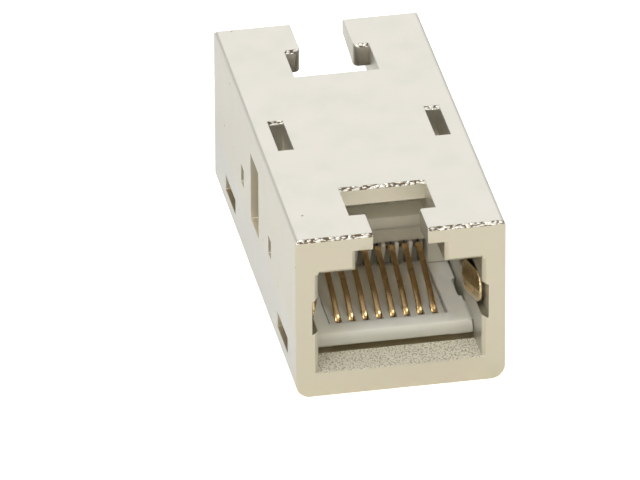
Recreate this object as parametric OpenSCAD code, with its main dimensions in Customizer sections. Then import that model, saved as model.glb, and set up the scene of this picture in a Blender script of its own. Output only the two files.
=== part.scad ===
// Shielded RJ45 in-line coupler: a diecast shell with a port at each end.
// +Y runs from the front port to the rear port, +Z is up, and the latch side is up at both ends.
// The origin is the middle of the underside. Sizes are in millimetres.

/* [Shell] */
// Width of the shell
shell_w = 15.4; // [14.6:0.1:17]
// Height of the shell
shell_h = 13; // [12.7:0.1:15]
// Length from the middle plane to the front end face
front_half = 15.6; // [15.3:0.1:18]
// Length from the middle plane to the rear end face
rear_half = 16.7; // [15.3:0.1:18]
// Thickness of the floor
floor_t = 1.9; // [1.5:0.05:2.1]
// Radius along the two lower edges
lower_r = 1.1; // [0.3:0.1:1.4]
// Radius along the two upper edges
upper_r = 0.35; // [0.1:0.05:0.9]
// Chamfer on the upper edges that run across the shell
edge_break = 0.24; // [0.05:0.01:0.4]

/* [Port] */
// Width of each port
port_w = 12; // [11.9:0.05:12.6]
// Height of each port, from the floor to the shoulders
port_h = 8.15; // [7.95:0.05:8.4]
// Width of the raised part of the mouth, where the plug's latch goes
latch_w = 6.5; // [6.4:0.05:7.2]
// Height of that raised part above the shoulders
latch_h = 1.7; // [1.4:0.05:2.1]
// Width of the open slot for the latch's lever
slot_w = 4; // [3.4:0.05:4.6]
// Width of the cross slot that the latch snaps up into
cross_w = 6.36; // [5.4:0.02:6.4]
// Length of the cross slot
cross_len = 3.68; // [2.6:0.02:4.4]
// Distance of the cross slot's catch wall from the middle plane
catch_y = 12.36; // [11.6:0.02:13]
// Drop of the tabs' undersides from the end face to the catch wall
tab_drop = 0.55; // [0:0.05:0.9]
// Corner radius of the tabs, seen from above
tab_r = 0.45; // [0.1:0.05:0.9]
// Bevel round the mouth
mouth_bevel = 0.3; // [0.05:0.05:0.4]
// Depth of the grooves in the side walls that hold the shield springs
groove_d = 0.47; // [0.45:0.01:0.6]
// Height of the grooves
groove_h = 2.95; // [2.8:0.05:3.2]
// Height of the grooves' lower edges above the floor
groove_up = 3.2; // [2.6:0.05:3.6]

/* [Windows] */
// Width of the two holes in the top
top_hole_w = 1.14; // [0.6:0.02:1.3]
// Length of the two holes in the top
top_hole_len = 4; // [2:0.1:6]
// Distance of those holes' outer walls from the middle
top_hole_x = 6.39; // [6.1:0.01:6.5]
// Length of the large side windows
window_len = 3.2; // [2:0.1:4]
// Height of the large side windows
window_h = 5.5; // [4:0.1:5.6]
// Distance of those windows' centres from the middle plane
window_shift = 0.5; // [-0.5:0.1:0.5]
// Length of the small side slots
vent_len = 1.15; // [0.6:0.05:1.8]
// Height of the small side slots
vent_h = 1.5; // [0.8:0.1:2]
// Distance of their centres from the middle plane
vent_y = 5.4; // [4.6:0.1:6]
// Length of the windows that hold the inserts' snaps
snap_window_len = 4; // [3:0.1:4.4]
// Height of those windows above the floor
snap_window_h = 1.25; // [1.1:0.05:1.6]
// Distance of their centres from the middle plane
snap_y = 10.35; // [10:0.05:10.6]

/* [Insert] */
// Clearance between an insert and the port's side walls
insert_gap = 0.15; // [0.05:0.01:0.2]
// Distance of an insert's front face from the middle plane
lip_y = 12.95; // [12.7:0.05:13.3]
// Height of the plug floor above the shell's floor
plug_floor = 1.4; // [1.3:0.05:1.5]
// Thickness of the plug floor
tray_t = 0.8; // [0.6:0.05:0.9]
// Radius of the lip at the front
lip_r = 0.65; // [0.2:0.05:0.75]
// How far the snaps stand out from the insert's sides
snap_out = 0.75; // [0.4:0.05:0.9]
// Length of the cheeks beside the contact block
cheek_len = 2.7; // [2.2:0.05:3]
// Thickness of the wall behind the plug
wall_t = 0.6; // [0.4:0.05:0.9]
// Height of the bar above the contact block
bar_h = 0.95; // [0.6:0.05:1.3]
// Depth of the relief slots in the edges of the plug floor
relief_d = 0.26; // [0.2:0.02:0.4]
// Length of those slots
relief_len = 2.6; // [1:0.05:3]
// Step in the seam beside the contact block
seam_step = 0.06; // [0:0.01:0.07]

/* [Contacts] */
// Distance from one contact to the next
pitch = 1.016; // [1:0.002:1.03]
// Width of a contact
contact_w = 0.42; // [0.25:0.01:0.5]
// Thickness of a contact
contact_t = 0.22; // [0.15:0.01:0.26]
// Distance of the contacts' noses from the middle plane
nose_y = 10.1; // [9.9:0.05:10.2]
// Clearance round a contact in its seat
seat_gap = 0.02; // [0.01:0.005:0.04]
// Width of the contact block
block_w = 8.55; // [8.3:0.05:8.7]
// Clearance between the contact block and the insert
block_gap = 0.12; // [0.08:0.01:0.25]
// Drop from the plug floor to the contact block's deck
deck_drop = 0.25; // [0.15:0.05:0.4]
// Height of the comb's slots above the deck
comb_h = 2.35; // [2.3:0.05:2.5]
// Length of the comb
comb_len = 1.5; // [1.45:0.05:1.9]
// Depth of the comb's slots
comb_slot_d = 0.6; // [0.5:0.05:0.8]
// Height of the lintel that stands out over the comb
lintel_h = 1.1; // [0.9:0.05:1.2]
// Width of the ribs between the comb's slots
rib_w = 0.28; // [0.2:0.01:0.36]

/* [Board] */
// Thickness of the circuit board
board_t = 1.6; // [1.2:0.1:1.8]
// Width of the circuit board
board_w = 10.4; // [9:0.1:11]
// Height of the circuit board
board_h = 7.8; // [6:0.1:8]
// Gap between the board and the inserts
board_gap = 0.35; // [0.25:0.05:0.5]
// Radius of the board's holes
board_hole_r = 0.28; // [0.26:0.01:0.32]
// Distance between the board's two rows of holes
row_step = 1.5; // [1.2:0.05:2]
// How far the contacts' tails stand out of the board
tail_out = 0.25; // [0.05:0.05:0.3]

/* [Shield springs] */
// Thickness of a shield spring
spring_t = 0.16; // [0.1:0.01:0.2]
// Height of a shield spring
spring_h = 2.5; // [1.6:0.05:2.55]
// Distance of the springs' tips from the middle plane
spring_tip = 14.35; // [14:0.05:14.9]
// Distance of the springs' crests from the middle plane
crest_y = 11.6; // [11.2:0.05:12.2]
// How far the crests stand into the port
crest_in = 0.5; // [0.2:0.05:0.7]
// How far the fingers bulge across their height
spring_crown = 0.24; // [0.05:0.01:0.28]

/* [Hidden] */
$fn = 48;
eps = 0.01;
shell_len = front_half + rear_half;
mid_y = (front_half - rear_half) / 2;
shoulder_z = floor_t + port_h;
latch_z = shoulder_z + latch_h;
// Between the cross slots the roof is a little lower than at the mouth
roof_drop = 0.2;
roof_z = latch_z - roof_drop;
// The grooves slope, so that a spring drops in and stays
groove_x = port_w / 2 + groove_d;
groove_low = floor_t + groove_up;
groove_high = groove_low + groove_h;
groove_slope = 0.2;
// Room in front of the contacts' noses, and the openings in the deck over them
nose_room = 1;
nose_slot_front = 0.55;
nose_slot_len = 1.3;
// Depth of the pockets at the foot of the comb, and how far they come out in front of it
pocket_d = 0.3;
pocket_out = 0.2;
// Insert
insert_w = port_w - 2 * insert_gap;
tray_z = floor_t + plug_floor - tray_t;
deck_z = floor_t + plug_floor;
insert_back = board_t / 2 + board_gap;
cheek_y = insert_back + cheek_len;
comb_y = insert_back + comb_len;
recess_w = block_w + 2 * block_gap;
recess_y = nose_y + nose_room;
insert_head = shoulder_z - insert_gap;
// Contact block and contacts
slab_top = deck_z - deck_drop;
comb_z = slab_top + comb_h;
block_top = comb_z + lintel_h;
run_up = 0.4;
run_z = floor_t + run_up;
upper_row = run_z + row_step;
tail_y = board_t / 2 + tail_out;
// The contacts' route above the deck, as distances from the middle plane and heights
knee = [nose_y - 0.42, run_z + 0.81];
bow = [nose_y - 1.95, deck_z + 0.63];
crest = [cheek_y + 0.45, comb_z - 0.06];
hook = [comb_y - 0.35, comb_z - 1.33];
// Where even contacts step up to the upper row of holes, behind the contact block's back face
step_y = insert_back + 0.4;
// Where the seam beside the block steps in, and where the relief slots start
seam_y = nose_y - 2.1;
seam_run = 0.6;
relief_y = nose_y - 1.2;
// The rails' front ends stand back from their windows, and the snaps are a little smaller than those
rail_back = 0.3;
snap_gap = 0.1;
snap_face = 0.6;
// Shield springs
spring_x = groove_x - spring_t / 2;
spring_up = 0.2;
spring_mid = groove_low + spring_up + spring_h / 2;
finger_len = 2.6;
crown_run = 1.5;
face_steps = 8;
// Where the round end is drawn, from the start of its half circle to the tip
round_steps = [1, 0.8, 0.6, 0.42, 0.28, 0.16, 0.08, 0.02];

// ---- Small helpers ----

// A square bar with its corners on the axes: it cuts a 45 degree chamfer along an edge
module edge_cutter(size, length) {
    cylinder(r = size, h = length, center = true, $fn = 4);
}

// What a rounding takes off the corner of a square
module corner_waste(r) {
    difference() {
        translate([-eps, -eps]) square(r + eps);
        translate([r, r]) circle(r);
    }
}

// Extrudes an outline drawn in Y and Z across the shell
module across(width) {
    rotate([90, 0, 90]) linear_extrude(width, center = true) children();
}

// Extrudes an outline drawn in X and Z along the shell
module along(length) {
    rotate([90, 0, 0]) linear_extrude(length, center = true) children();
}

module both_sides() {
    children();
    mirror([1, 0, 0]) children();
}

// The front end's parts are drawn from the middle plane, with the mouth towards -Y
module front_end() {
    translate([0, mid_y, 0]) children();
}

// The rear end's parts are the same ones turned round
module rear_end() {
    translate([0, mid_y, 0]) rotate([0, 0, 180]) children();
}

function unit(v) = v / norm(v);

function normal(v) = unit([-v.y, v.x]);

// The arc that rounds corner b of the route a, b, c
function bend(a, b, c, r, steps) =
    let (u = unit(a - b), v = unit(c - b),
         half = acos(u * v) / 2,
         centre = b + unit(u + v) * r / sin(half),
         from = b + u * r / tan(half) - centre,
         to = b + v * r / tan(half) - centre,
         start = atan2(from.y, from.x),
         turn = (atan2(to.y, to.x) - start + 540) % 360 - 180)
    [for (i = [0:steps]) centre + r * [cos(start + turn * i / steps), sin(start + turn * i / steps)]];

function rounded_route(points, radii, steps) = [
    points[0],
    for (i = [1:len(points) - 2]) each bend(points[i - 1], points[i], points[i + 1], radii[i - 1], steps),
    points[len(points) - 1]
];

// One side of a strip of sheet metal that follows a route
function strip_side(route, offset) = [
    for (i = [0:len(route) - 1])
        let (last = len(route) - 1,
             before = normal(route[max(i, 1)] - route[max(i, 1) - 1]),
             after = normal(route[min(i + 1, last)] - route[min(i, last - 1)]),
             mean = unit(before + after))
        route[i] + mean * offset / (mean * before)
];

module strip(route, thickness) {
    inner = strip_side(route, -thickness / 2);
    polygon(concat(
        strip_side(route, thickness / 2),
        [for (i = [len(inner) - 1:-1:0]) inner[i]]));
}

// ---- Shell ----

module shell_section() {
    difference() {
        translate([-shell_w / 2, 0]) square([shell_w, shell_h]);
        both_sides() translate([-shell_w / 2, 0]) corner_waste(lower_r);
        both_sides() translate([-shell_w / 2, shell_h]) mirror([0, 1]) corner_waste(upper_r);
    }
}

// The passage that the plugs and the inserts share, with a groove in each side wall
module passage() {
    along(2 * shell_len) translate([-port_w / 2, floor_t]) square([port_w, port_h]);
    both_sides() along(2 * shell_len) polygon([
        [port_w / 2 - eps, groove_low + groove_slope],
        [groove_x, groove_low],
        [groove_x, groove_high - groove_slope],
        [port_w / 2 - eps, groove_high]
    ]);
    across(latch_w) translate([-catch_y, shoulder_z - eps]) square([2 * catch_y, roof_z - shoulder_z + eps]);
}

// The latch's way in under the tabs, and the T-shaped slot above it
module latch_way(half) {
    across(latch_w) polygon([
        [-catch_y + eps, shoulder_z - eps],
        [-half - eps, shoulder_z - eps],
        [-half - eps, latch_z],
        [-catch_y + eps, latch_z - tab_drop]
    ]);
    translate([0, 0, shoulder_z]) linear_extrude(shell_h) {
        translate([-slot_w / 2, -half - eps]) square([slot_w, half - catch_y + 2 * eps]);
        translate([-cross_w / 2, -catch_y]) square([cross_w, cross_len]);
        both_sides() translate([slot_w / 2, -catch_y]) mirror([0, 1]) corner_waste(tab_r);
    }
}

// Bevels round one mouth, on the sides, the shoulders and the tabs
module mouth_bevels(half) {
    translate([0, -half, 0]) both_sides() {
        translate([port_w / 2, 0, floor_t + port_h / 2]) edge_cutter(mouth_bevel, port_h);
        translate([(port_w + latch_w) / 4, 0, shoulder_z]) rotate([0, 90, 0])
            edge_cutter(mouth_bevel, (port_w - latch_w) / 2);
        translate([latch_w / 2, 0, shoulder_z + latch_h / 2]) edge_cutter(mouth_bevel, latch_h);
    }
}

// Chamfers on the upper edges that run across the shell at one end
module cross_edges(half) {
    for (edge = [[half, shell_w + 2], [catch_y, cross_w], [catch_y - cross_len, cross_w]])
        translate([0, -edge[0], shell_h]) rotate([0, 90, 0]) edge_cutter(edge_break, edge[1]);
}

module top_hole() {
    translate([top_hole_x - top_hole_w, mid_y - top_hole_len / 2, shoulder_z - eps])
        cube([top_hole_w, top_hole_len, shell_h]);
    for (y = [-1, 1])
        translate([top_hole_x - top_hole_w / 2, mid_y + y * top_hole_len / 2, shell_h]) rotate([0, 90, 0])
            edge_cutter(edge_break, top_hole_w);
}

// One opening through the right-hand side wall, centred on y, standing on z
module side_opening(y, z, length, height) {
    translate([port_w / 2 - eps, mid_y + y - length / 2, z]) cube([shell_w / 2, length, height]);
}

module side_openings() {
    side_opening(window_shift, groove_low, window_len, window_h);
    for (end = [-1, 1]) {
        side_opening(end * vent_y, groove_low + groove_h / 3, vent_len, vent_h);
        side_opening(end * snap_y, floor_t, snap_window_len, snap_window_h);
    }
}

module shell() {
    color([0.80, 0.78, 0.74]) difference() {
        along(shell_len) shell_section();
        front_end() passage();
        front_end() latch_way(front_half);
        rear_end() latch_way(rear_half);
        front_end() mouth_bevels(front_half);
        rear_end() mouth_bevels(rear_half);
        front_end() cross_edges(front_half);
        rear_end() cross_edges(rear_half);
        both_sides() top_hole();
        both_sides() side_openings();
    }
}

// ---- Insert ----

// The plug floor, with its rounded lip
module tray() {
    across(insert_w) difference() {
        translate([-lip_y, tray_z]) square([lip_y - insert_back, tray_t]);
        translate([-lip_y, tray_z + tray_t]) mirror([0, 1]) corner_waste(lip_r);
    }
}

// A rail under the plug floor and the snap on it, on the right
module rail() {
    rail_w = (insert_w - recess_w) / 2;
    rail_front = snap_y + snap_window_len / 2 - rail_back;
    snap_len = snap_window_len - 2 * rail_back;
    translate([insert_w / 2 - rail_w, -rail_front, floor_t])
        cube([rail_w, rail_front - insert_back, tray_z - floor_t + eps]);
    translate([insert_w / 2, -rail_front, floor_t + snap_gap]) linear_extrude(snap_window_h - 2 * snap_gap)
        polygon([[-eps, 0], [snap_out, 0], [snap_out, snap_face], [-eps, snap_len]]);
}

// The wall behind the plug, with a cheek at each side and a bar over the contact block
module insert_back_wall() {
    both_sides() translate([recess_w / 2 - seam_step, -cheek_y, deck_z - eps])
        cube([(insert_w - recess_w) / 2 + seam_step, cheek_len, insert_head - deck_z]);
    translate([-insert_w / 2, -insert_back - wall_t, block_top])
        cube([insert_w, wall_t, insert_head - block_top]);
    translate([-latch_w / 2 + insert_gap, -insert_back - wall_t, insert_head - eps])
        cube([latch_w - 2 * insert_gap, wall_t, roof_z - insert_gap - insert_head]);
    translate([-recess_w / 2 - eps, -cheek_y, block_top])
        cube([recess_w + 2 * eps, cheek_len, bar_h]);
}

// Half of the opening for the contact block, seen from above, a little narrower behind the seam's step
module recess_half() {
    polygon([
        [-eps, -recess_y],
        [recess_w / 2, -recess_y],
        [recess_w / 2, -seam_y],
        [recess_w / 2 - seam_step, -seam_y + seam_run],
        [recess_w / 2 - seam_step, 0],
        [-eps, 0]
    ]);
}

// A relief slot in the right-hand edge of the plug floor, with round ends
module relief_slot() {
    translate([insert_w / 2, -relief_y + relief_d]) {
        translate([-relief_d, 0]) square([2 * relief_d, relief_len - 2 * relief_d]);
        circle(relief_d);
        translate([0, relief_len - 2 * relief_d]) circle(relief_d);
    }
}

module insert() {
    color([0.80, 0.82, 0.78]) difference() {
        union() {
            tray();
            both_sides() rail();
            insert_back_wall();
        }
        translate([0, 0, floor_t - eps]) linear_extrude(block_top - floor_t + eps) both_sides() recess_half();
        translate([0, 0, floor_t - eps]) linear_extrude(deck_z) both_sides() relief_slot();
    }
}

// ---- Contacts ----

// Contact 1 is at the left of its port, seen from the mouth
function contact_x(i) = (i - 4.5) * pitch;

// Odd contacts run straight back to the lower row of holes, even ones step up to the upper row
function contact_tail(i) = i % 2 == 1
    ? [[tail_y, run_z]]
    : [[tail_y, upper_row], [-step_y, upper_row], [-step_y, run_z]];

// From the row of holes forward to the nose, up over the deck and down into the comb
function contact_points(i) =
    concat(contact_tail(i), [[-nose_y, run_z]], [for (p = [knee, bow, crest, hook]) [-p.x, p.y]]);

function contact_radii(i) = concat(i % 2 == 1 ? [] : [0.2, 0.2], [0.25, 1.2, 3, 0.5]);

module contact(i, grow = 0) {
    color([0.86, 0.68, 0.32])
    translate([contact_x(i), 0, 0]) across(contact_w + 2 * grow)
        strip(rounded_route(contact_points(i), contact_radii(i), 5), contact_t + 2 * grow);
}

// ---- Contact block ----

// A slot for a contact's free end, with a pocket in the deck at its foot
module comb_slot(i) {
    translate([contact_x(i) - (pitch - rib_w) / 2, -comb_y - pocket_out, slab_top - pocket_d])
        cube([pitch - rib_w, comb_slot_d + pocket_out, comb_h + pocket_d]);
}

// Opens the deck over a contact's nose
module nose_slot(i) {
    translate([contact_x(i) - contact_w / 2 - seat_gap, -nose_y - nose_slot_front, run_z])
        cube([contact_w + 2 * seat_gap, nose_slot_len, deck_z]);
}

module contact_block() {
    color([0.78, 0.80, 0.76]) difference() {
        union() {
            translate([-block_w / 2, -recess_y + block_gap, floor_t])
                cube([block_w, recess_y - block_gap - insert_back, slab_top - floor_t]);
            translate([-block_w / 2, -comb_y, slab_top - eps])
                cube([block_w, comb_len, comb_h + 2 * eps]);
            translate([-block_w / 2, -cheek_y, comb_z])
                cube([block_w, cheek_len, lintel_h]);
        }
        for (i = [1:8]) {
            comb_slot(i);
            nose_slot(i);
            contact(i, seat_gap);
        }
    }
}

// ---- Circuit board ----

module circuit_board() {
    color([0.16, 0.36, 0.20]) translate([0, mid_y, 0]) difference() {
        translate([-board_w / 2, -board_t / 2, floor_t]) cube([board_w, board_t, board_h]);
        for (i = [1:8]) for (z = [run_z, upper_row])
            translate([contact_x(i), 0, z]) rotate([90, 0, 0])
                cylinder(r = board_hole_r, h = 2 * board_t, center = true);
    }
}

// ---- Shield springs ----

// Half of a spring's route, from the middle plane to the tip: distance along the port, then X
function finger() = rounded_route([
    [0, spring_x],
    [crest_y - finger_len, spring_x],
    [crest_y, port_w / 2 - crest_in + spring_t / 2],
    [spring_tip, spring_x]
], [1.2, 1.5], 8);

// Sections of half a spring, from the middle to the tip
function half_stations(route) = concat(
    [for (i = [1:len(route) - 2]) route[i].x],
    [for (step = round_steps) spring_tip - step * spring_h / 2]);

// Half the spring's height: the tip is a half circle
function spring_half(y) =
    let (in = max(0, abs(y) - spring_tip + spring_h / 2))
    sqrt(pow(spring_h / 2, 2) - pow(in, 2));

// How far the face stands off the route: nothing in the middle of the spring, a bulge on its fingers
function bulge(y, z) =
    let (share = (abs(y) - crest_y + finger_len) / crown_run)
    spring_crown * max(0, min(1, share)) * (1 - pow(2 * z / spring_h, 2));

// A ring round one section: up the face that is towards the wall and down the one towards the port
function spring_ring(route, y) =
    let (x = lookup(abs(y), route), half = spring_half(y))
    [for (side = [1, -1]) for (i = [0:face_steps])
        let (z = side * half * (2 * i / face_steps - 1))
            [x - bulge(y, z) + side * spring_t / 2, y, spring_mid + z]];

// One whole spring, on the right: a finger at each end, with a round tip
module shield_spring() {
    route = finger();
    half = half_stations(route);
    stations = concat([for (i = [len(half) - 1:-1:0]) -half[i]], half);
    size = 2 * (face_steps + 1);
    last = (len(stations) - 1) * size;
    color([0.70, 0.52, 0.30]) front_end() polyhedron(
        [for (y = stations) each spring_ring(route, y)],
        concat(
            [for (i = [0:face_steps - 1]) [size - 1 - i, size - 2 - i, i + 1, i]],
            [for (i = [0:face_steps - 1]) [last + i, last + i + 1, last + size - 2 - i, last + size - 1 - i]],
            [for (s = [0:len(stations) - 2]) for (i = [0:size - 1])
                let (a = s * size + i, b = s * size + (i + 1) % size)
                each [[a, b, a + size], [b, b + size, a + size]]]));
}

// ---- Assembly ----

shell();
front_end() insert();  // front_insert
rear_end() insert();  // rear_insert
front_end() contact_block();  // front_contact_block
rear_end() contact_block();  // rear_contact_block
circuit_board();
mirror([1, 0, 0]) shield_spring();  // shield_spring_left
shield_spring();  // shield_spring_right
for (i = [1:8]) {
    front_end() contact(i);
    rear_end() contact(i);
}
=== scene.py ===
import math

import bmesh
import bpy
from bpy.props import FloatProperty, FloatVectorProperty, PointerProperty
from mathutils import Matrix, Vector


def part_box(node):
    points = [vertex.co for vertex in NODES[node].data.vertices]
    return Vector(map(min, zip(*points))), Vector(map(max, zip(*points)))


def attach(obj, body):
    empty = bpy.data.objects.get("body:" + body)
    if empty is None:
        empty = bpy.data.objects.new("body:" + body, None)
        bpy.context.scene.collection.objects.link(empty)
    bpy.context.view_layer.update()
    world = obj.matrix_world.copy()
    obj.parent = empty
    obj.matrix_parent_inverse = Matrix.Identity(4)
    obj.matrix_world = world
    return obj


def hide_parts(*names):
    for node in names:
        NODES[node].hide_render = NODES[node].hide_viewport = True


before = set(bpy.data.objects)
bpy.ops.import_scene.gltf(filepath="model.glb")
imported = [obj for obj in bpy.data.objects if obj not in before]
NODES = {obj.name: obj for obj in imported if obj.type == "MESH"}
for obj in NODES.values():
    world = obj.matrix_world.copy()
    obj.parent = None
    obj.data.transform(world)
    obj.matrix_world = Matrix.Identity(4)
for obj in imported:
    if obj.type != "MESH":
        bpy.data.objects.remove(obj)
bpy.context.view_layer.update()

bl_info = {
    "name": "In-line Coupler Looks",
    "version": (1, 0, 0),
    "blender": (4, 5, 0),
    "location": "View3D > Sidebar > Coupler",
    "description": "Dresses the frame of a shielded in-line coupler and sets it on a pale floor",
    "category": "Object",
}

SHELL_LOW, SHELL_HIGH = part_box("shell")
BOARD_LOW, BOARD_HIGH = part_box("circuit_board")
SPRING_LOW, SPRING_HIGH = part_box("shield_spring_right")
MM = 0.001
MIDDLE = (BOARD_LOW.y + BOARD_HIGH.y) / 2
ENDS = {"front": 1, "rear": -1}
CONTACTS = range(1, 9)

# Heights of the mouths' floors, of the parting line on the sides and of the tops of the inserts' lips
MOUTH_FLOOR = 1.9 * MM
PARTING = 5.0 * MM
LIP_TOP = 3.4 * MM
# Where the coarse front part of the mouths' floors begins, from the middle plane
COARSE_FROM = 12.78 * MM
# How far the coarse cut edges reach below the top, how close to its height a floor is looked for, and
# how far the painted change of tone at the parting line reaches up and down
CUT_DEPTH = 0.5 * MM
FLOOR_SLACK = 0.06 * MM
PARTING_BLUR = 0.15 * MM
# Distances from a shield spring's middle line at which the painted highlight along its ridge begins to fade
# and ends
RIDGE = (0.02 * MM, 0.22 * MM)

# The corners of a contact's route: distance from the middle plane, height and radius of the bend, in
# millimetres. First come the tails in the board, of even and odd contacts, then what all share.
TAILS = {
    0: [(-1.05, 3.8, 0.0), (1.55, 3.8, 0.2), (1.55, 2.3, 0.2)],
    1: [(-1.05, 2.3, 0.0)],
}
RISE = [(10.1, 2.3, 0.25), (9.68, 3.11, 1.2), (8.15, 3.93, 3.0), (4.3, 5.34, 0.5), (2.3, 4.07, 0.0)]
# The side view of a rib of the comb: distance from the middle plane and height, in millimetres
RIB = [(2.55, 5.37), (4.12, 5.37), (4.12, 5.0), (3.3, 3.4), (2.55, 3.3)]

# Vertices closer than this are one
WELD = 2e-6
# Faces that meet at more than these angles, in degrees, keep a crease: on castings and mouldings, on wires
CREASE = 50.0
WIRE_CREASE = 40.0

# Roughness of each finish, from its smoothest to its dullest patches, and of the board's edge and face
DULL = {
    "nickel": (0.40, 0.52),
    "plastic": (0.32, 0.42),
    "gold": (0.2, 0.3),
    "bronze": (0.2, 0.3),
    "solder": (0.3, 0.45),
    "board": (0.75, 0.3),
}
# Directions of the scratches in the plating, in degrees, and how strong noise must be to leave one
SCRATCHES = ((24.0, 0.70), (-63.0, 0.72))

# Each lamp's place, side, level and tint
LAMPS = {
    "softbox_back": ((0.1, 0.9, 0.75), 1.1, 0.94, (1.0, 1.0, 1.0)),
    "softbox_left": ((-0.9, 0.0, 0.5), 0.8, 1.7, (1.0, 1.0, 1.0)),
    "lamp_ahead": ((-0.16, -0.85, 0.5), 0.25, 8.3, (1.0, 0.87, 0.63)),
    "lamp_left": ((-0.41, -0.49, 0.77), 0.25, 11.2, (0.97, 1.0, 1.0)),
    "lamp_right": ((0.35, -0.61, 0.71), 0.25, 8.0, (0.97, 1.0, 0.92)),
}
# Half the floor's side, and how far the warm tone of the floor reaches under the coupler's front
FLOOR_HALF = 4.0
WARM_UNDER = 4 * MM
# Heights on the sky's sphere, from 0 at the horizon to 1, where the light changes
ABOVE_HORIZON = (0.12, 0.3)
BELOW_TOP = (0.88, 0.97)


# ---- Sizes and colours ----


def length(name, description, default, low=0.0, high=1.0):
    """A length in metres, as the sidebar shows it."""
    return FloatProperty(
        name=name, description=description, default=default,
        min=low, max=high, precision=6, subtype="DISTANCE", unit="LENGTH")


def colour(name, description, default):
    """A plain colour, in linear values."""
    return FloatVectorProperty(
        name=name, description=description, default=default,
        min=0.0, max=1.0, size=3, subtype="COLOR")


def plain(name, description, default, low=0.0, high=10.0):
    """A number without a unit."""
    return FloatProperty(name=name, description=description, default=default, min=low, max=high)


def turn(name, description, default):
    """An angle, stored in radians."""
    return FloatProperty(
        name=name, description=description, default=math.radians(default), subtype="ANGLE", unit="ROTATION")


class CouplerSizes(bpy.types.PropertyGroup):
    cast_edge: length("Casting edge", "Rounding on the casting's sharp edges", 0.04 * MM)
    mould_edge: length("Moulded edge", "Rounding on the plastic parts' edges", 0.05 * MM)
    sheet_edge: length("Sheet edge", "Rounding on the shield springs' edges", 0.03 * MM)
    board_edge: length("Board edge", "Rounding on the circuit board's edges", 0.05 * MM)
    wire_w: length("Wire width", "Width of a contact", 0.42 * MM)
    wire_t: length("Wire thickness", "Thickness of a contact", 0.22 * MM)
    wire_edge: length("Wire edge", "Rounding on the contact wires' edges", 0.07 * MM)
    rib_w: length("Rib width", "Width of the comb's ribs between the contacts", 0.3 * MM)
    rib_edge: length("Rib edge", "Rounding on the comb's ribs", 0.1 * MM)
    pitch: length("Pitch", "Distance from one contact to the next", 1.016 * MM)
    solder_r: length("Solder radius", "Radius of a soldered joint", 0.42 * MM)
    solder_h: length("Solder height", "Height of a soldered joint", 0.2 * MM)


class CouplerSkin(bpy.types.PropertyGroup):
    grain: length("Grain", "Size of the fine grain of the casting", 0.12 * MM)
    grain_depth: length("Grain depth", "Depth of that grain", 0.0012 * MM)
    grit: length("Grit", "Size of the coarse grains on the cut edges", 0.15 * MM)
    grit_depth: length("Grit depth", "Depth of the coarse grains", 0.05 * MM)
    sand: length("Sand", "Size of the grains in the front of the mouths", 0.14 * MM)
    sand_depth: length("Sand depth", "Depth of those grains", 0.06 * MM)
    mottle: length("Mottle", "Size of the stains in the plating", 2.6 * MM)
    mould_grain: length("Mould grain", "Size of the grain of the plastic", 0.2 * MM)
    mould_depth: length("Mould grain depth", "Depth of the grain of the plastic", 0.002 * MM)
    glow: length("Glow", "How far light spreads inside the plastic", 1.6 * MM)
    ridge_depth: length("Ridge depth", "Height of the ridge along the springs", 0.08 * MM)
    brush: length("Brush", "Width of the rolling marks on the springs", 0.05 * MM)


class CouplerColours(bpy.types.PropertyGroup):
    nickel: colour("Nickel", "Satin nickel plating", (0.72, 0.687, 0.625))
    stain: colour("Stain", "Warm stains in the plating", (0.707, 0.694, 0.616))
    # Painted reflection: the sides below the parting line are painted this cooler tone, for the different
    # light they catch
    flank_painted_reflection: colour("Flank", "Cooler tone of the sides below the parting line", (0.70, 0.693, 0.655))
    # Painted shade: the mouths' floors behind their coarse front parts take this darker colour, for the shade
    # under the lips and walls
    shade: colour("Shade", "Darker plating deep in the mouths", (0.50, 0.43, 0.31))
    sand: colour("Sand gaps", "Gaps between the grains in the mouths", (0.52, 0.44, 0.30))
    grains: colour("Grains", "Grains in the mouths", (1.0, 0.97, 0.84))
    pits: colour("Pits", "Hollows between the coarse grains", (0.16, 0.12, 0.08))
    # Painted glints: the faces of the cut edges' coarse grains are painted near white, for the sparkle of
    # light on them
    painted_glints: colour("Glints", "Faces of the coarse grains", (0.98, 0.96, 0.90))
    insert: colour("Insert", "Pale grey plastic of the inserts", (0.90, 0.89, 0.81))
    rib: colour("Rib", "Whitish plastic of the comb's thin ribs", (0.95, 0.93, 0.88))
    block: colour("Block", "Pale grey plastic of the contact blocks", (0.78, 0.76, 0.68))
    gold: colour("Gold", "Plating of the contacts", (0.70, 0.485, 0.25))
    bronze: colour("Bronze", "Bare bronze of the shield springs", (0.90, 0.74, 0.48))
    # Painted highlight: a bright stripe along the springs' ridge, for the light that the crowned ridge
    # catches
    painted_ridge_highlight: colour("Burnish", "Ridge of the shield springs, rubbed bright", (1.0, 0.80, 0.45))
    board: colour("Board", "Lacquer of the circuit board", (0.03, 0.14, 0.06))
    laminate: colour("Laminate", "Bare edge of the circuit board", (0.30, 0.30, 0.16))
    solder: colour("Solder", "Tin of the soldered joints", (0.62, 0.62, 0.60))


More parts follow.
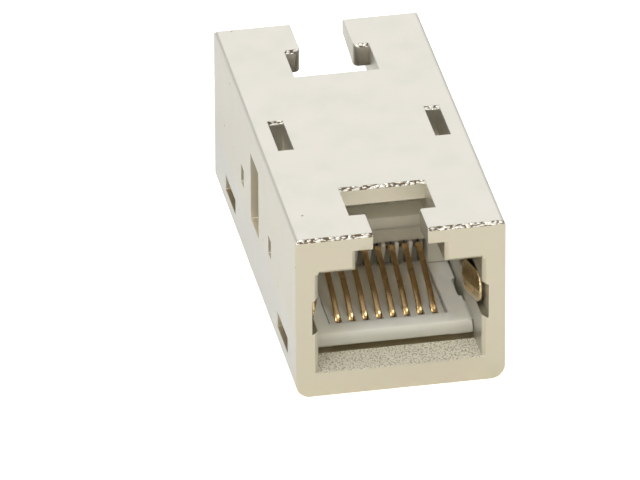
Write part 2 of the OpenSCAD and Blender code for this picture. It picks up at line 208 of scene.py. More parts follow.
class CouplerStage(bpy.types.PropertyGroup):
    azimuth: turn("Azimuth", "Camera's turn round the coupler from straight in front", -10.736)
    elevation: turn("Elevation", "Camera's height above the horizon", 29.675)
    roll: turn("Roll", "Camera's turn about its own axis", -0.291)
    distance: length("Distance", "From the coupler to the camera", 0.81018, 0.1, 10.0)
    aim_right: length("Aim right", "Shift of the aim to the right of the base's centre", -2.790 * MM, -1)
    aim_up: length("Aim up", "Shift of the aim above the base's centre", 2.846 * MM, -1)
    lens: plain("Lens", "Focal length in millimetres", 619.86, 1.0, 2000.0)
    horizon: plain("Horizon", "Level of the light near the horizon", 0.65)
    overhead: plain("Overhead", "Level of the light straight above", 0.75)
    sky: plain("Sky", "Level of the light from all round", 0.33)
    floor: colour("Floor", "Pale floor", (0.9, 0.9, 0.9))
    floor_ahead: colour("Floor ahead", "Warmer floor in front of the coupler", (0.9, 0.84, 0.72))
    floor_glow: plain("Floor glow", "Light that the camera sees from the floor itself", 0.6)
    mirrored_glow: plain("Mirrored glow", "Light from the floor itself in metal and glass", 0.03)


# ---- Nodes ----


def put(tree, kind, settings=None, **inputs):
    """Adds a node; each input is set to a value, or linked where it is given a socket."""
    made = tree.nodes.new(kind)
    for key, value in (settings or {}).items():
        setattr(made, key, value)
    for key, value in inputs.items():
        socket = made.inputs[int(key[1:])] if key[0] == "_" else made.inputs[key.replace("_", " ")]
        if isinstance(value, bpy.types.NodeSocket):
            tree.links.new(value, socket)
        else:
            socket.default_value = value
    return made


def maths(tree, operation, *values):
    """The result of a Math node."""
    return put(
        tree, "ShaderNodeMath", {"operation": operation},
        **{f"_{i}": value for i, value in enumerate(values)}).outputs[0]


def spread(tree, value, low, high, to_low=0.0, to_high=1.0):
    """Spreads the part of a value between low and high over another range."""
    return put(tree, "ShaderNodeMapRange", None,
               Value=value, From_Min=low, From_Max=high, To_Min=to_low, To_Max=to_high).outputs[0]


def blend(tree, share, first, second):
    """Mixes two colours."""
    return put(tree, "ShaderNodeMix", {"data_type": "RGBA"}, _0=share, _6=first, _7=second).outputs[2]


def scaled(tree, position, size):
    """A position measured in steps of a size, or of a size for each axis."""
    if isinstance(size, float):
        size = (size, size, size)
    return put(tree, "ShaderNodeVectorMath", {"operation": "DIVIDE"}, _0=position, _1=size).outputs[0]


def noise(tree, position, size, detail=2.0, rough=0.5):
    """Noise whose blobs are about as large as the size."""
    return put(tree, "ShaderNodeTexNoise", None,
               Vector=scaled(tree, position, size), Scale=1.0, Detail=detail, Roughness=rough).outputs[0]


def effect(name, inputs, outputs):
    """A shader group with named sockets: its tree, its inputs and its outputs."""
    tree = bpy.data.node_groups.new(name, "ShaderNodeTree")
    for label, kind in inputs.items():
        tree.interface.new_socket(label, in_out="INPUT", socket_type=kind)
    for label, kind in outputs.items():
        tree.interface.new_socket(label, in_out="OUTPUT", socket_type=kind)
    return tree, tree.nodes.new("NodeGroupInput").outputs, tree.nodes.new("NodeGroupOutput").inputs


def use(tree, name, **inputs):
    """The outputs of an effect, which is made when it is first used."""
    if name not in bpy.data.node_groups:
        EFFECTS[name]()
    return put(tree, "ShaderNodeGroup", {"node_tree": bpy.data.node_groups[name]}, **inputs).outputs


def rgba(value, share=1.0):
    """A share of a colour, with its alpha."""
    return (*(Vector(value) * share), 1.0)


def parts_of(tree, vector):
    """The x, y and z of a vector."""
    return put(tree, "ShaderNodeSeparateXYZ", None, Vector=vector).outputs


def size_of(tree, value):
    """A value without its sign."""
    return maths(tree, "ABSOLUTE", value)


def mirrored_rays(tree, path):
    """1 for what metal mirrors and what shows through glass."""
    return maths(tree, "MAXIMUM", path["Is Glossy Ray"], path["Is Transmission Ray"])


def new_material(name):
    """An empty material with its tree, and the position and facing of its surface."""
    material = bpy.data.materials.new(name)
    material.use_nodes = True
    tree = material.node_tree
    tree.nodes.clear()
    coordinates = put(tree, "ShaderNodeTexCoord").outputs
    return material, tree, coordinates["Object"], coordinates["Normal"]


def relief(tree, height, depth, normal=None):
    """Bumps of a depth in metres."""
    made = put(tree, "ShaderNodeBump", None, Height=height, Distance=depth)
    if normal is not None:
        tree.links.new(normal, made.inputs["Normal"])
    return made.outputs[0]


def finish_surface(tree, **inputs):
    """Ends a material in one Principled BSDF."""
    surface = put(tree, "ShaderNodeBsdfPrincipled", None, **inputs)
    put(tree, "ShaderNodeOutputMaterial", None, Surface=surface.outputs[0])


# ---- Effects ----


def make_skin():
    """A fine grain, and cloudy patches over it."""
    tree, given, result = effect(
        "skin", {"Position": "NodeSocketVector", "Grain": "NodeSocketFloat", "Patch": "NodeSocketFloat"},
        {"Height": "NodeSocketFloat", "Patches": "NodeSocketFloat"})
    tree.links.new(noise(tree, given["Position"], given["Grain"], 3.0, 0.6), result["Height"])
    patches = noise(tree, given["Position"], given["Patch"], 3.0, 0.55)
    tree.links.new(spread(tree, patches, 0.35, 0.65), result["Patches"])


def make_grit():
    """Coarse grains with hollows between them, and a mask for painted glints on their faces."""
    tree, given, result = effect(
        "grit", {"Position": "NodeSocketVector", "Size": "NodeSocketVector"},
        {"Height": "NodeSocketFloat", "Glint": "NodeSocketFloat"})
    steps = scaled(tree, given["Position"], given["Size"])
    bent = put(tree, "ShaderNodeTexNoise", None, Vector=steps, Scale=0.7, Detail=2.0).outputs[1]
    steps = put(tree, "ShaderNodeVectorMath", {"operation": "ADD"}, _0=steps, _1=bent).outputs[0]
    cells = put(tree, "ShaderNodeTexVoronoi", {"feature": "SMOOTH_F1"},
                Vector=steps, Scale=1.0, Smoothness=0.3)
    rise = spread(tree, cells.outputs["Distance"], 0.15, 0.75, 1.0, 0.0)
    tree.links.new(rise, result["Height"])
    pick = put(tree, "ShaderNodeSeparateColor", None, Color=cells.outputs["Color"]).outputs[0]
    painted_glint = maths(tree, "MULTIPLY", rise, maths(tree, "ADD", pick, 0.35))
    tree.links.new(spread(tree, painted_glint, 0.12, 0.45), result["Glint"])


def make_sand():
    """Small round grains that lie close together, with dark gaps between them."""
    tree, given, result = effect(
        "sand", {"Position": "NodeSocketVector", "Size": "NodeSocketFloat"},
        {"Height": "NodeSocketFloat", "Grains": "NodeSocketFloat"})
    steps = put(tree, "ShaderNodeVectorMath", {"operation": "SCALE"}, _0=given["Position"],
                Scale=maths(tree, "DIVIDE", 1.0, given["Size"])).outputs[0]
    cells = put(tree, "ShaderNodeTexVoronoi", {"feature": "F1"}, Vector=steps, Scale=1.0, Randomness=0.85)
    far = cells.outputs["Distance"]
    tree.links.new(spread(tree, maths(tree, "MULTIPLY", far, far), 0.0, 0.4, 1.0, 0.0), result["Height"])
    tree.links.new(spread(tree, far, 0.5, 0.74, 1.0, 0.0), result["Grains"])


def make_marks():
    """Faint scratches that run in two directions, and a few small dark specks."""
    tree, given, result = effect(
        "marks", {"Position": "NodeSocketVector"}, {"Marks": "NodeSocketFloat", "Specks": "NodeSocketFloat"})
    sums = None
    for angle, strong in SCRATCHES:
        turned = put(tree, "ShaderNodeVectorRotate", {"rotation_type": "Z_AXIS"},
                     Vector=given["Position"], Angle=math.radians(angle)).outputs[0]
        lines = noise(tree, turned, (0.12 * MM, 4.0 * MM, 0.12 * MM), 1.0)
        patch = noise(tree, turned, (3.0 * MM, 3.0 * MM, 3.0 * MM), 0.0)
        line = maths(
            tree, "MULTIPLY", spread(tree, lines, strong, strong + 0.06), spread(tree, patch, 0.5, 0.6))
        sums = line if sums is None else maths(tree, "MAXIMUM", sums, line)
    tree.links.new(sums, result["Marks"])
    cells = put(tree, "ShaderNodeTexVoronoi", None,
                Vector=scaled(tree, given["Position"], 1.3 * MM), Scale=1.0).outputs
    pick = put(tree, "ShaderNodeSeparateColor", None, Color=cells["Color"]).outputs[0]
    chosen = maths(tree, "LESS_THAN", pick, 0.05)
    speck = spread(tree, cells["Distance"], 0.05, 0.09, 0.8, 0.0)
    tree.links.new(maths(tree, "MULTIPLY", chosen, speck), result["Specks"])


EFFECTS = {"skin": make_skin, "grit": make_grit, "sand": make_sand, "marks": make_marks}


# ---- Materials ----


def nickel_material(colours, skin):
    """Satin nickel over a zinc casting: the cut edges and the front of the mouths' floors are coarse. The cut
    edges carry painted glints, the mouths' floors painted shade, and the sides below the parting line a
    painted cooler reflection.
    """
    material, tree, place, facing = new_material("nickel_casting")
    _, y, z = parts_of(tree, place)
    sideways, lengthwise, upward = parts_of(tree, facing)
    # Where each finish and painted mark lies: cut edges along the top, with painted glints; the mouths'
    # floors, painted with shade; and their front parts
    slanted = maths(tree, "MULTIPLY", size_of(tree, lengthwise), size_of(tree, upward))
    cut = maths(tree, "MULTIPLY", spread(tree, slanted, 0.25, 0.4),
                maths(tree, "GREATER_THAN", z, SHELL_HIGH.z - CUT_DEPTH))
    level = maths(tree, "LESS_THAN", size_of(tree, maths(tree, "SUBTRACT", z, MOUTH_FLOOR)), FLOOR_SLACK)
    level = maths(tree, "MULTIPLY", level, spread(tree, upward, 0.3, 0.6))
    outer = maths(tree, "GREATER_THAN", size_of(tree, maths(tree, "SUBTRACT", y, MIDDLE)), COARSE_FROM)
    low = maths(tree, "MULTIPLY", level, outer)
    # Painted reflection: the sides below the parting line are painted a cooler tone, for the different light
    # they catch
    flank_painted_reflection = maths(tree, "MULTIPLY", spread(tree, size_of(tree, sideways), 0.7, 0.9),
                  spread(tree, z, PARTING - PARTING_BLUR, PARTING + PARTING_BLUR, 1.0, 0.0))
    even = use(tree, "skin", Position=place, Grain=skin.grain, Patch=skin.mottle)
    rough = use(tree, "grit", Position=place, Size=(1.8 * skin.grit, skin.grit, skin.grit))
    sand = use(tree, "sand", Position=place, Size=skin.sand)
    marks = use(tree, "marks", Position=place)
    plating = blend(tree, even["Patches"], rgba(colours.nickel), rgba(colours.stain))
    plating = blend(tree, flank_painted_reflection, plating, rgba(colours.flank_painted_reflection))
    plating = blend(tree, marks["Specks"], plating, rgba(colours.pits))
    # Painted shade: the mouths' floors are painted darker, for the shade under the lips and walls
    shade = blend(tree, level, plating, rgba(colours.shade))
    # Painted glints on the grains of the cut edges, over the dark colour of the hollows between them
    shade = blend(tree, cut, shade, blend(tree, rough["Glint"], rgba(colours.pits), rgba(colours.painted_glints)))
    shade = blend(tree, low, shade, blend(tree, sand["Grains"], rgba(colours.sand), rgba(colours.grains)))
    bumps = relief(tree, even["Height"], skin.grain_depth)
    bumps = relief(tree, maths(tree, "MULTIPLY", cut, rough["Height"]), skin.grit_depth, bumps)
    bumps = relief(tree, maths(tree, "MULTIPLY", low, sand["Height"]), skin.sand_depth, bumps)
    dull = spread(tree, maths(tree, "ADD", even["Patches"], marks["Marks"]), 0.0, 2.0, *DULL["nickel"])
    finish_surface(
        tree, Base_Color=shade, Metallic=spread(tree, low, 0.0, 1.0, 1.0, 0.15), Roughness=dull, Normal=bumps)
    return material


def plastic_material(name, value, skin, with_painted_shade=()):
    """Pale moulded plastic that lets light through. Each item of the painted shade list has an axis, a share
    and a
    height: faces that look along the axis below the height take that share of the colour, as painted shade."""
    material, tree, place, facing = new_material(name)
    even = use(tree, "skin", Position=place, Grain=skin.mould_grain, Patch=skin.mottle)
    _, _, z = parts_of(tree, place)
    axes = parts_of(tree, facing)
    shade = blend(tree, even["Patches"], rgba(value), rgba(value, 0.95))
    for axis, share, below in with_painted_shade:
        # Painted shade: faces that look along the axis below the height are painted darker
        along_it = maths(tree, "MULTIPLY", spread(tree, size_of(tree, axes[axis]), 0.3, 0.9),
                         maths(tree, "LESS_THAN", z, below))
        shade = blend(tree, along_it, shade, rgba(value, share))
    finish_surface(
        tree, Base_Color=shade, Roughness=spread(tree, even["Patches"], 0.0, 1.0, *DULL["plastic"]),
        Normal=relief(tree, even["Height"], skin.mould_depth),
        Subsurface_Weight=0.8, Subsurface_Radius=(1.0, 0.95, 0.8), Subsurface_Scale=skin.glow)
    return material


def plated_material(name, finish, value, share, depth, skin):
    """Plain metal, a little uneven: its patches take a share of its colour."""
    material, tree, place, _ = new_material(name)
    even = use(tree, "skin", Position=place, Grain=skin.grain, Patch=skin.mottle)
    finish_surface(
        tree, Base_Color=blend(tree, even["Patches"], rgba(value), rgba(value, share)), Metallic=1.0,
        Roughness=spread(tree, even["Patches"], 0.0, 1.0, *DULL[finish]),
        Normal=relief(tree, even["Height"], depth))
    return material


def bronze_material(colours, skin):
    """Bare bronze with rolling marks along the strip, and a painted highlight along its ridge."""
    material, tree, place, _ = new_material("bare_bronze")
    _, _, z = parts_of(tree, place)
    even = use(tree, "skin", Position=place, Grain=skin.grain, Patch=skin.mottle)
    lines = noise(tree, place, (skin.brush, skin.brush * 60, skin.brush), 2.0)
    shade = blend(tree, spread(tree, lines, 0.35, 0.65), rgba(colours.bronze), rgba(colours.bronze, 0.7))
    # Painted highlight: the middle line of each spring is painted bright; the same stripe raises a low bump
    off = size_of(tree, maths(tree, "SUBTRACT", z, (SPRING_LOW.z + SPRING_HIGH.z) / 2))
    ridge = spread(tree, off, *RIDGE, 1.0, 0.0)
    finish_surface(
        tree, Base_Color=blend(tree, ridge, shade, rgba(colours.painted_ridge_highlight)), Metallic=1.0,
        Roughness=spread(tree, even["Patches"], 0.0, 1.0, *DULL["bronze"]),
        Normal=relief(tree, ridge, skin.ridge_depth, relief(tree, lines, skin.grain_depth)))
    return material


def board_material(colours, skin):
    """Green lacquer on the faces, bare laminate on the edges."""
    material, tree, place, facing = new_material("board_lacquer")
    even = use(tree, "skin", Position=place, Grain=skin.mould_grain, Patch=skin.mottle)
    face = spread(tree, size_of(tree, parts_of(tree, facing)[1]), 0.5, 0.8)
    shade = blend(tree, face, rgba(colours.laminate), rgba(colours.board))
    shade = blend(tree, maths(tree, "MULTIPLY", even["Patches"], 0.3), shade, rgba(colours.board, 0.6))
    finish_surface(
        tree, Base_Color=shade, Roughness=spread(tree, face, 0.0, 1.0, *DULL["board"]),
        Normal=relief(tree, even["Height"], skin.mould_depth))
    return material


# ---- Meshes ----


def add_object(name, data):
    """An object in the scene, at the origin."""
    made = bpy.data.objects.new(name, data)
    bpy.context.scene.collection.objects.link(made)
    return made


def evaluated_mesh(owner):
    """A plain mesh of what an object's modifiers make."""
    graph = bpy.context.evaluated_depsgraph_get()
    return bpy.data.meshes.new_from_object(
        owner.evaluated_get(graph), preserve_all_data_layers=True, depsgraph=graph)


def welded_copy(node, name):
    """A copy of a CAD node with its loose triangles welded and paired into quads."""
    mesh = NODES[node].data.copy()
    mesh.name = name
    work = bmesh.new()
    work.from_mesh(mesh)
    bmesh.ops.remove_doubles(work, verts=work.verts, dist=WELD)
    bmesh.ops.join_triangles(
        work, faces=work.faces, angle_face_threshold=math.radians(0.5),
        angle_shape_threshold=math.radians(180.0))
    work.to_mesh(mesh)
    work.free()
    mesh.materials.clear()
    return add_object(name, mesh)


def soften(piece, width, angle=25.0, segments=2):
    """Rounds the sharp edges of a piece and shades its flat faces flat."""
    mesh = piece.data
    work = bmesh.new()
    work.from_mesh(mesh)
    bmesh.ops.remove_doubles(work, verts=work.verts, dist=width * 0.6)
    limit = math.radians(angle)
    sharp = [e for e in work.edges if len(e.link_faces) == 2 and e.calc_face_angle() > limit]
    bmesh.ops.bevel(
        work, geom=sharp, offset=width, offset_type="OFFSET", segments=segments, profile=0.5,
        affect="EDGES", clamp_overlap=False, miter_outer="SHARP", miter_inner="SHARP")
    for face in work.faces:
        face.smooth = True
    for edge in work.edges:
        edge.smooth = len(edge.link_faces) == 2 and edge.calc_face_angle() < math.radians(CREASE)
    work.to_mesh(mesh)
    work.free()
    normals = piece.modifiers.new("normals", "WEIGHTED_NORMAL")
    normals.keep_sharp = True
    mesh = evaluated_mesh(piece)
    piece.modifiers.clear()
    piece.data = mesh
    mesh.name = piece.name


def dress(piece, material, slot, *nodes):
    """Gives a piece its material and its body, and hides the nodes that it stands for; the slot is not used.
    """
    if material is not None:
        piece.data.materials.clear()
        piece.data.materials.append(material)
    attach(piece, "root")
    if nodes:
        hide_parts(*nodes)


# ---- Geometry nodes ----


def geometry_tree(name, **inputs):
    """A geometry tree with named inputs: the tree and its group input."""
    tree = bpy.data.node_groups.new(name, "GeometryNodeTree")
    tree.interface.new_socket("Geometry", in_out="INPUT", socket_type="NodeSocketGeometry")
    for label, kind in inputs.items():
        tree.interface.new_socket(label.replace("_", " "), in_out="INPUT", socket_type=kind)
    tree.interface.new_socket("Geometry", in_out="OUTPUT", socket_type="NodeSocketGeometry")
    return tree, tree.nodes.new("NodeGroupInput").outputs


def end_tree(tree, geometry, material):
    """Ends a geometry tree: real meshes, and their material."""
    real = put(tree, "GeometryNodeRealizeInstances", None, Geometry=geometry).outputs[0]
    painted = put(tree, "GeometryNodeSetMaterial", None, Geometry=real, Material=material).outputs[0]
    tree.links.new(painted, tree.nodes.new("NodeGroupOutput").inputs[0])


def smooth_below(tree, mesh, angle):
    """Smooth shading, but for the edges that bend by more than an angle."""
    smooth = put(tree, "GeometryNodeSetShadeSmooth", {"domain": "FACE"}, Geometry=mesh).outputs[0]
    bent = put(tree, "GeometryNodeInputMeshEdgeAngle").outputs[0]
    gentle = put(tree, "FunctionNodeCompare", {"data_type": "FLOAT", "operation": "LESS_THAN"},
                 A=bent, B=math.radians(angle)).outputs[0]
    return put(tree, "GeometryNodeSetShadeSmooth", {"domain": "EDGE"},
               Geometry=smooth, Shade_Smooth=gentle).outputs[0]


def placed(tree, mesh, given):
    """A mesh turned about the upright axis and moved, by the inputs Turn and Place."""
    turned = put(tree, "ShaderNodeCombineXYZ", None, Z=given["Turn"]).outputs[0]
    return put(tree, "GeometryNodeTransform", None,
               Geometry=mesh, Translation=given["Place"], Rotation=turned).outputs[0]


def make_wire():
    """A flat wire that follows a route of straight lines, rounded by the radii stored on its corners."""
    tree, given = geometry_tree(
        "coupler_wire", Width="NodeSocketFloat", Thickness="NodeSocketFloat", Edge="NodeSocketFloat",
        Place="NodeSocketVector", Turn="NodeSocketFloat", Material="NodeSocketMaterial")
    route = put(tree, "GeometryNodeMeshToCurve", None, Mesh=given["Geometry"]).outputs[0]
    radius = put(
        tree, "GeometryNodeInputNamedAttribute", {"data_type": "FLOAT"}, Name="radius_of_bend").outputs[0]
    route = put(tree, "GeometryNodeFilletCurve", {"mode": "POLY"},
                Curve=route, Radius=radius, Count=6).outputs[0]
    outline = put(tree, "GeometryNodeCurvePrimitiveQuadrilateral", {"mode": "RECTANGLE"},
                  Width=given["Width"], Height=given["Thickness"]).outputs[0]
    outline = put(tree, "GeometryNodeFilletCurve", {"mode": "POLY"},
                  Curve=outline, Radius=given["Edge"], Count=3).outputs[0]
    wire = put(tree, "GeometryNodeCurveToMesh", None,
               Curve=route, Profile_Curve=outline, Fill_Caps=True).outputs[0]
    wire = placed(tree, smooth_below(tree, wire, WIRE_CREASE), given)
    end_tree(tree, wire, given["Material"])
    return tree


def make_solder():
    """A small round joint on each point."""
    tree, given = geometry_tree(
        "coupler_solder", Radius="NodeSocketFloat", Height="NodeSocketFloat", Facing="NodeSocketFloat",
        Seed="NodeSocketInt", Material="NodeSocketMaterial")
    joint = put(tree, "GeometryNodeMeshCone", {"fill_type": "NONE"}, Vertices=20, Side_Segments=4,
                Radius_Top=0.5, Radius_Bottom=1.0, Depth=1.0).outputs[0]
    joint = put(tree, "GeometryNodeSetShadeSmooth", None, Geometry=joint).outputs[0]
    wobble = put(tree, "FunctionNodeRandomValue", {"data_type": "FLOAT"},
                 _2=0.85, _3=1.1, Seed=given["Seed"]).outputs[1]
    across = maths(tree, "MULTIPLY", given["Radius"], wobble)
    size = put(tree, "ShaderNodeCombineXYZ", None, X=across, Y=across, Z=given["Height"]).outputs[0]
    turned = put(tree, "ShaderNodeCombineXYZ", None, X=given["Facing"]).outputs[0]
    joints = put(tree, "GeometryNodeInstanceOnPoints", None,
                 Points=given["Geometry"], Instance=joint, Rotation=turned, Scale=size).outputs[0]
    end_tree(tree, joints, given["Material"])
    return tree


def make_comb():
    """A row of equal ribs from one rib."""
    tree, given = geometry_tree(
        "coupler_comb", Count="NodeSocketInt", Pitch="NodeSocketFloat", Place="NodeSocketVector",
        Turn="NodeSocketFloat", Material="NodeSocketMaterial")
    step = put(tree, "ShaderNodeCombineXYZ", None, X=given["Pitch"]).outputs[0]
    row = put(tree, "GeometryNodeMeshLine", {"mode": "OFFSET"}, Count=given["Count"], Offset=step).outputs[0]
    ribs = put(tree, "GeometryNodeInstanceOnPoints", None, Points=row, Instance=given["Geometry"]).outputs[0]
    end_tree(tree, placed(tree, ribs, given), given["Material"])
    return tree


def rib_mesh(width, edge):
    """One rib of the comb, with rounded edges, in the plane x = 0."""
    work = bmesh.new()
    loops = [[work.verts.new((x, -y * MM, z * MM)) for y, z in RIB] for x in (-width / 2, width / 2)]
    work.faces.new(loops[0])
    work.faces.new(reversed(loops[1]))
    for i in range(len(RIB)):
        j = (i + 1) % len(RIB)
        work.faces.new((loops[0][j], loops[0][i], loops[1][i], loops[1][j]))
    bmesh.ops.bevel(work, geom=work.edges[:], offset=edge, segments=3, profile=0.5, affect="EDGES")
    bmesh.ops.recalc_face_normals(work, faces=work.faces)
    for face in work.faces:
        face.smooth = True
    mesh = bpy.data.meshes.new("rib")
    work.to_mesh(mesh)
    work.free()
    return mesh


def grown(name, mesh, tree, **values):
    """What a geometry tree makes of a mesh, as a plain piece; each value goes to the input with its name."""
    seed = add_object(name + "_seed", mesh)
    modifier = seed.modifiers.new("tree", "NODES")
    modifier.node_group = tree
    sockets = {s.name: s.identifier for s in tree.interface.items_tree if s.in_out == "INPUT"}
    for label, value in values.items():
        modifier[sockets[label]] = value
    made = evaluated_mesh(seed)
    seed.modifiers.clear()
    bpy.data.objects.remove(seed)
    made.name = name
    return add_object(name, made)


def contact_route(i):
    """The corners of a contact: odd ones end in the board's lower row of holes, even ones in the upper."""
    return TAILS[i % 2] + RISE


def tail_height(i):
    """The height of the hole that a contact is soldered into."""
    return TAILS[i % 2][0][1] * MM


def contact_x(i, pitch, side):
    """How far to the right a contact stands, seen from the front of the coupler."""
    return (i - (len(CONTACTS) + 1) / 2) * pitch * side


def turned_round(side):
    """The turn about the upright axis that takes a front piece to an end of the coupler."""
    return 0.0 if side > 0 else math.pi


def route_mesh(name, corners):
    """The route of a contact in the plane x = 0, from the middle plane forward, with its bends' radii."""
    mesh = bpy.data.meshes.new(name)
    mesh.from_pydata(
        [(0.0, -y * MM, z * MM) for y, z, _ in corners],
        [(i, i + 1) for i in range(len(corners) - 1)], [])
    radii = mesh.attributes.new("radius_of_bend", "FLOAT", "POINT")
    for place, (_, _, radius) in zip(radii.data, corners):
        place.value = radius * MM
    return mesh


# ---- Pieces ----


class COUPLER_OT_shell(bpy.types.Operator):
    """Makes the cast shell"""

    bl_idname = "coupler.shell"
    bl_label = "Cast shell"

    def execute(self, context):
        scene = context.scene
        piece = welded_copy("shell", "cast_shell")
        soften(piece, scene.coupler_sizes.cast_edge)
        dress(piece, nickel_material(scene.coupler_colours, scene.coupler_skin), "nickel", "shell")
        return {"FINISHED"}


class COUPLER_OT_mouldings(bpy.types.Operator):
    """Makes the inserts and the contact blocks"""

    bl_idname = "coupler.mouldings"
    bl_label = "Inserts and contact blocks"

    def execute(self, context):
        scene = context.scene
        colours, skin = scene.coupler_colours, scene.coupler_skin
        sizes, top = scene.coupler_sizes, SHELL_HIGH.z
        # Painted shade: the inserts' faces that look forward or back are painted darker, and their lips'
        # fronts darker still
        pale = plastic_material("insert_plastic", colours.insert, skin, ((1, 0.8, top), (1, 0.52, LIP_TOP)))
        # Painted shade: the blocks' faces that look forward or back are painted darker, and their sideways
        # faces, in the seams and the comb's slots, much darker, for the shadow there
        with_painted_shade = plastic_material("block_plastic", colours.block, skin, ((1, 0.78, top), (0, 0.3, top)))
        clear = plastic_material("rib_plastic", colours.rib, skin)
        for end in ENDS:
            for node, piece_name, material in (
                    (f"{end}_insert", f"{end}_moulded_insert", pale),
                    (f"{end}_contact_block", f"{end}_moulded_block", with_painted_shade)):
                piece = welded_copy(node, piece_name)
                soften(piece, sizes.mould_edge)
                dress(piece, material, "insert_plastic", node)
        comb = make_comb()
        for end, side in ENDS.items():
            ribs = grown(
                f"{end}_comb_ribs", rib_mesh(sizes.rib_w, sizes.rib_edge), comb, Count=len(CONTACTS) - 1,
                Pitch=sizes.pitch, Turn=turned_round(side),
                Place=(-(len(CONTACTS) / 2 - 1) * sizes.pitch * side, MIDDLE, 0.0), Material=clear)
            dress(ribs, None, "insert_plastic")
        return {"FINISHED"}


class COUPLER_OT_contacts(bpy.types.Operator):
    """Makes the sixteen contact wires"""

    bl_idname = "coupler.contacts"
    bl_label = "Contact wires"

    def execute(self, context):
        scene = context.scene
        sizes = scene.coupler_sizes
        tree = make_wire()
        skin = scene.coupler_skin
        gold = plated_material(
            "gold_plate", "gold", scene.coupler_colours.gold, 0.85, skin.grain_depth, skin)
        for end, side in ENDS.items():
            for i in CONTACTS:
                node = f"{end}_contact_{i}"
                piece = grown(
                    f"{end}_wire_{i}", route_mesh(node, contact_route(i)), tree,
                    Width=sizes.wire_w, Thickness=sizes.wire_t, Edge=sizes.wire_edge,
                    Place=(contact_x(i, sizes.pitch, side), MIDDLE, 0.0), Turn=turned_round(side),
                    Material=gold)
                dress(piece, None, "gold", node)
        return {"FINISHED"}


class COUPLER_OT_board(bpy.types.Operator):
    """Makes the circuit board and its soldered joints"""

    bl_idname = "coupler.board"
    bl_label = "Circuit board"

    def execute(self, context):
        scene = context.scene
        sizes, colours, skin = scene.coupler_sizes, scene.coupler_colours, scene.coupler_skin
        piece = welded_copy("circuit_board", "lacquered_board")
        soften(piece, sizes.board_edge)
        dress(piece, board_material(colours, skin), "board", "circuit_board")
        tree = make_solder()
        tin = plated_material("solder", "solder", colours.solder, 0.8, skin.grain_depth * 3, skin)
        for end, side in ENDS.items():
            y = MIDDLE + side * (BOARD_HIGH.y - BOARD_LOW.y) / 2
            points = bpy.data.meshes.new(end)
            points.from_pydata(
                [(contact_x(i, sizes.pitch, side), y, tail_height(i)) for i in CONTACTS], [], [])
            joints = grown(
                f"{end}_solder", points, tree, Radius=sizes.solder_r, Height=sizes.solder_h,
                Facing=-side * math.pi / 2, Seed=7, Material=tin)
            dress(joints, None, "board")
        return {"FINISHED"}


class COUPLER_OT_springs(bpy.types.Operator):
    """Makes the two shield springs"""

    bl_idname = "coupler.springs"
    bl_label = "Shield springs"

    def execute(self, context):
        scene = context.scene
        bronze = bronze_material(scene.coupler_colours, scene.coupler_skin)
        for side in ("left", "right"):
            node = f"shield_spring_{side}"
            piece = welded_copy(node, f"{side}_bronze_spring")
            soften(piece, scene.coupler_sizes.sheet_edge, 40.0)
            dress(piece, bronze, "bronze", node)
        return {"FINISHED"}


# ---- Stage ----


def aimed(place, target):
    """A turn that points -Z from place at target."""
    return (Vector(target) - Vector(place)).to_track_quat("-Z", "Y").to_euler()


def softbox(name, place, size, level, tint):
    """A square studio lamp aimed at the coupler; a level of 1 looks as bright as a white card."""
    lamp = bpy.data.lights.new(name, "AREA")
    lamp.shape = "SQUARE"
    lamp.size = size
    lamp.energy = level * math.pi * size * size
    lamp.color = tint
    box = add_object(name, lamp)
    box.location = place
    box.rotation_euler = aimed(place, (0.0, 0.0, SHELL_HIGH.z / 2))


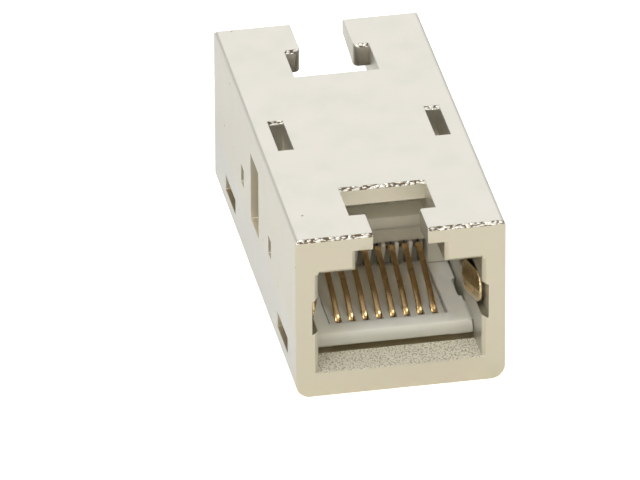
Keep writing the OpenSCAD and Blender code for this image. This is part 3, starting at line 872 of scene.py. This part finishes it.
class COUPLER_OT_stage(bpy.types.Operator):
    """Sets the floor, the lamps, the background and the camera"""

    bl_idname = "coupler.stage"
    bl_label = "Stage"

    def execute(self, context):
        stage = context.scene.coupler_stage
        self.floor(stage)
        for name, lamp in LAMPS.items():
            softbox(name, *lamp)
        self.background(context, stage)
        self.camera(context, stage)
        return {"FINISHED"}

    def floor(self, stage):
        mesh = bpy.data.meshes.new("floor")
        corners = ((-1, -1), (1, -1), (1, 1), (-1, 1))
        mesh.from_pydata([(x * FLOOR_HALF, y * FLOOR_HALF, 0) for x, y in corners], [], [(0, 1, 2, 3)])
        floor = add_object("floor", mesh)
        material, tree, place, _ = new_material("pale_floor")
        path = put(tree, "ShaderNodeLightPath").outputs
        glow = maths(tree, "MAXIMUM", maths(tree, "MULTIPLY", path["Is Camera Ray"], stage.floor_glow),
                     maths(tree, "MULTIPLY", mirrored_rays(tree, path), stage.mirrored_glow))
        _, y, _ = parts_of(tree, place)
        ahead = spread(tree, y, SHELL_LOW.y, SHELL_LOW.y + WARM_UNDER, 1.0, 0.0)
        shade = blend(tree, ahead, rgba(stage.floor), rgba(stage.floor_ahead))
        finish_surface(
            tree, Base_Color=shade, Roughness=1.0, Specular_IOR_Level=0.0,
            Emission_Color=(1.0, 1.0, 1.0, 1.0), Emission_Strength=glow)
        mesh.materials.append(material)

    def background(self, context, stage):
        world = bpy.data.worlds.new("studio")
        context.scene.world = world
        world.use_nodes = True
        tree = world.node_tree
        tree.nodes.clear()
        path = put(tree, "ShaderNodeLightPath").outputs
        _, _, rise = parts_of(tree, put(tree, "ShaderNodeTexCoord").outputs["Generated"])
        horizon = maths(tree, "MAXIMUM", mirrored_rays(tree, path), stage.horizon)
        around = maths(tree, "MAXIMUM", spread(tree, rise, *ABOVE_HORIZON, horizon, stage.sky),
                       spread(tree, rise, *BELOW_TOP, 0.0, stage.overhead))
        level = put(tree, "ShaderNodeMix", {"data_type": "FLOAT"},
                    _0=path["Is Camera Ray"], _2=around, _3=1.0).outputs[0]
        back = put(tree, "ShaderNodeBackground", None, Color=(1.0, 1.0, 1.0, 1.0), Strength=level)
        put(tree, "ShaderNodeOutputWorld", None, Surface=back.outputs[0])

    def camera(self, context, stage):
        a, e = stage.azimuth, stage.elevation
        back = Vector((math.sin(a) * math.cos(e), -math.cos(a) * math.cos(e), math.sin(e)))
        turned = (-back).to_track_quat("-Z", "Y").to_matrix() @ Matrix.Rotation(stage.roll, 3, "Z")
        right, up = turned.col[0], turned.col[1]
        data = bpy.data.cameras.new("camera")
        data.lens = stage.lens
        data.sensor_width = 36.0
        data.clip_start = 0.01
        data.clip_end = 20.0
        camera = add_object("camera", data)
        camera.matrix_world = Matrix.Translation(
            back * stage.distance + right * stage.aim_right + up * stage.aim_up) @ turned.to_4x4()
        context.scene.camera = camera
        context.scene.view_settings.view_transform = "Standard"


# ---- Panel and registration ----


class COUPLER_PT_panel(bpy.types.Panel):
    """Lists the coupler's pieces, sizes and colours"""

    bl_idname = "COUPLER_PT_panel"
    bl_label = "In-line coupler"
    bl_space_type = "VIEW_3D"
    bl_region_type = "UI"
    bl_category = "Coupler"

    def draw(self, context):
        for name in GROUPS:
            group = getattr(context.scene, name)
            box = self.layout.box()
            for key in group.__annotations__:
                box.prop(group, key)
        for operator in OPERATORS:
            self.layout.operator(operator.bl_idname)


OPERATORS = (
    COUPLER_OT_shell, COUPLER_OT_mouldings, COUPLER_OT_contacts, COUPLER_OT_board, COUPLER_OT_springs,
    COUPLER_OT_stage)
GROUPS = {
    "coupler_sizes": CouplerSizes,
    "coupler_skin": CouplerSkin,
    "coupler_colours": CouplerColours,
    "coupler_stage": CouplerStage,
}
CLASSES = (*GROUPS.values(), *OPERATORS, COUPLER_PT_panel)


def register():
    for kind in CLASSES:
        bpy.utils.register_class(kind)
    for key, kind in GROUPS.items():
        setattr(bpy.types.Scene, key, PointerProperty(type=kind))


def unregister():
    for key in GROUPS:
        delattr(bpy.types.Scene, key)
    for kind in reversed(CLASSES):
        bpy.utils.unregister_class(kind)


def main():
    register()
    bpy.ops.coupler.shell()
    bpy.ops.coupler.mouldings()
    bpy.ops.coupler.contacts()
    bpy.ops.coupler.board()
    bpy.ops.coupler.springs()
    bpy.ops.coupler.stage()


if __name__ == "__main__":
    main()
